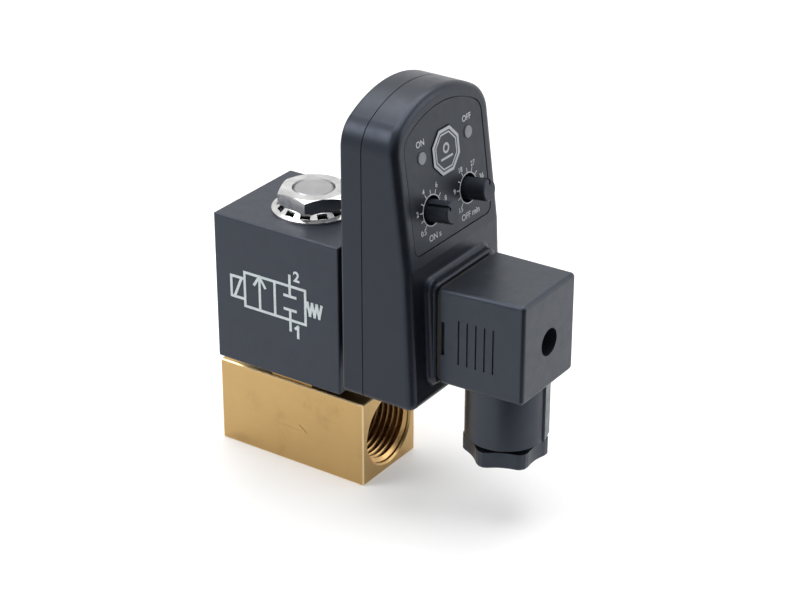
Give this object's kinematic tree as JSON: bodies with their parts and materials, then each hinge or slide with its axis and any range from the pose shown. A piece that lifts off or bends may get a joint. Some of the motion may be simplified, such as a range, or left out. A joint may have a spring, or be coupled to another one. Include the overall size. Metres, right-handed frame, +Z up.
{
  "type": "automatic drain valve",
  "caption": "Two-way brass solenoid valve with a plug-in electronic timer and a cable connector, for draining condensate from compressed air.",
  "frame": {"origin": "centre of the brass body's underside, on the axis of the armature tube", "axes": "+X along the flow, out of the outlet port on the timer side; +Y across the body; +Z up the armature tube"},
  "size_m": [0.1012, 0.0452, 0.1195],
  "materials": {
    "brass": "fine machined, satin",
    "stainless": "turned",
    "zinc_steel": "bright plated",
    "spring_steel": "drawn wire",
    "yoke_steel": "stamped, dull",
    "copper_wire": "enamelled wire",
    "coil_resin": "moulded, satin",
    "timer_plastic": "moulded, satin",
    "plug_plastic": "moulded, fine texture",
    "insert_plastic": "moulded",
    "bobbin_plastic": "moulded",
    "knob_plastic": "moulded, matt",
    "label_film": "printed film, satin",
    "key_plastic": "printed film, satin",
    "lens": "frosted",
    "board": "solder mask",
    "component_case": "moulded",
    "can": "drawn can",
    "tinned": "tin plated",
    "seal_rubber": "matt"
  },
  "bodies": {
    "valve": {"valve_body": "brass", "tube_flange": "brass", "bonnet_oring": "seal_rubber", "armature_tube": "stainless", "fixed_core": "stainless", "shading_ring": "copper_wire", "lock_washer": "zinc_steel", "coil_nut": "zinc_steel"},
    "plunger": {"plunger": "stainless", "plunger_seal": "seal_rubber", "plunger_spring": "spring_steel"},
    "on_time_dial": {"knob_on": "knob_plastic", "shaft_on": "insert_plastic"},
    "off_time_dial": {"knob_off": "knob_plastic", "shaft_off": "insert_plastic"},
    "test_key": {"test_button": "key_plastic"},
    "cable_gland": {"gland_nut": "plug_plastic"},
    "long_screw": {"fixing_screw": "zinc_steel"},
    "coil_unit": {"cable_seal": "seal_rubber", "coil_blade_1": "tinned", "coil_blade_2": "tinned", "coil_blade_3": "tinned", "coil_bobbin": "bobbin_plastic", "coil_gasket": "seal_rubber", "coil_housing": "coil_resin", "coil_insert": "brass", "coil_winding": "copper_wire", "coil_yoke": "yoke_steel", "connector_gasket": "seal_rubber", "connector_head": "plug_plastic", "connector_insert": "insert_plastic", "cover_screw_1": "zinc_steel", "cover_screw_2": "zinc_steel", "cover_screw_3": "zinc_steel", "cover_screw_4": "zinc_steel", "gland_washer": "insert_plastic", "led_off": "lens", "led_on": "lens", "plug_clip_1": "tinned", "plug_clip_2": "tinned", "plug_clip_3": "tinned", "pot_off": "component_case", "pot_on": "component_case", "screw_washer": "zinc_steel", "socket_clip_1": "tinned", "socket_clip_2": "tinned", "socket_clip_3": "tinned", "test_switch": "component_case", "timer_back_cover": "timer_plastic", "timer_blade_1": "tinned", "timer_blade_2": "tinned", "timer_blade_3": "tinned", "timer_capacitor": "can", "timer_front_cover": "timer_plastic", "timer_label": "label_film", "timer_pcb": "board", "timer_relay": "component_case", "timer_socket": "insert_plastic"}
  },
  "joints": [
    {"name": "coil_swivel", "type": "hinge", "parent": "valve", "child": "coil_unit", "pos_m": [0, 0, 0.0526], "axis": [0, 0, 1], "continuous": true},
    {"name": "plunger_lift", "type": "slide", "parent": "valve", "child": "plunger", "axis": [0, 0, 1], "range_m": [0, 0.0018], "stiffness_N_per_m": 400, "springref_m": -0.005, "deforming": ["plunger_spring"]},
    {"name": "on_time_turn", "type": "hinge", "parent": "coil_unit", "child": "on_time_dial", "pos_m": [0.04493, -0.0088, 0.089], "axis": [0.9918, 0, 0.1276], "range_deg": [-175, 95]},
    {"name": "off_time_turn", "type": "hinge", "parent": "coil_unit", "child": "off_time_dial", "pos_m": [0.04493, 0.0088, 0.089], "axis": [0.9918, 0, 0.1276], "range_deg": [-123, 147]},
    {"name": "test_press", "type": "slide", "parent": "coil_unit", "child": "test_key", "axis": [-0.9918, 0, -0.1276], "range_m": [0, 0.0005], "stiffness_N_per_m": 1500, "springref_m": -0.0006},
    {"name": "gland_turn", "type": "hinge", "parent": "coil_unit", "child": "cable_gland", "pos_m": [0.0635, 0, 0.0232], "axis": [0, 0, 1], "continuous": true},
    {"name": "long_screw_turn", "type": "hinge", "parent": "coil_unit", "child": "long_screw", "pos_m": [0.05, 0, 0.0556], "axis": [1, 0, 0], "continuous": true}
  ]
}
